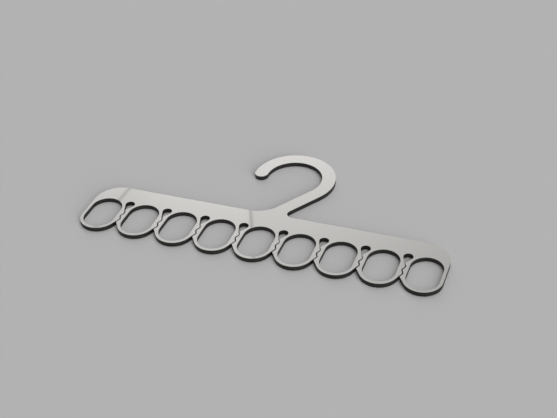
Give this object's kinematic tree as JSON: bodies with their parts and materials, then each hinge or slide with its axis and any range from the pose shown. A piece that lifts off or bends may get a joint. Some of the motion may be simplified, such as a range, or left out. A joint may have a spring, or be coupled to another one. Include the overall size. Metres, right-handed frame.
{
  "type": "tie hanger",
  "caption": "Flat tie hanger cut from laminated sheet: a round-cornered bar with a rail hook above and a row of loops below, each entered through a toothed slit.",
  "frame": {"origin": "on the plane of the back face, at the middle of the outline's box: midway along the bar, and midway between the feet of the loops and the crown of the hook", "axes": "+X along the bar, to the right as seen from the front face, +Y from the loops towards the hook, +Z out of the front face; the hanger lies on its back face"},
  "size_m": [0.2996, 0.1476, 0.004],
  "materials": {
    "skin_metal": "satin",
    "core_plastic": "matte, cut edge"
  },
  "bodies": {
    "root": {"front_skin": "skin_metal", "core": "core_plastic", "back_skin": "skin_metal"}
  },
  "joints": []
}
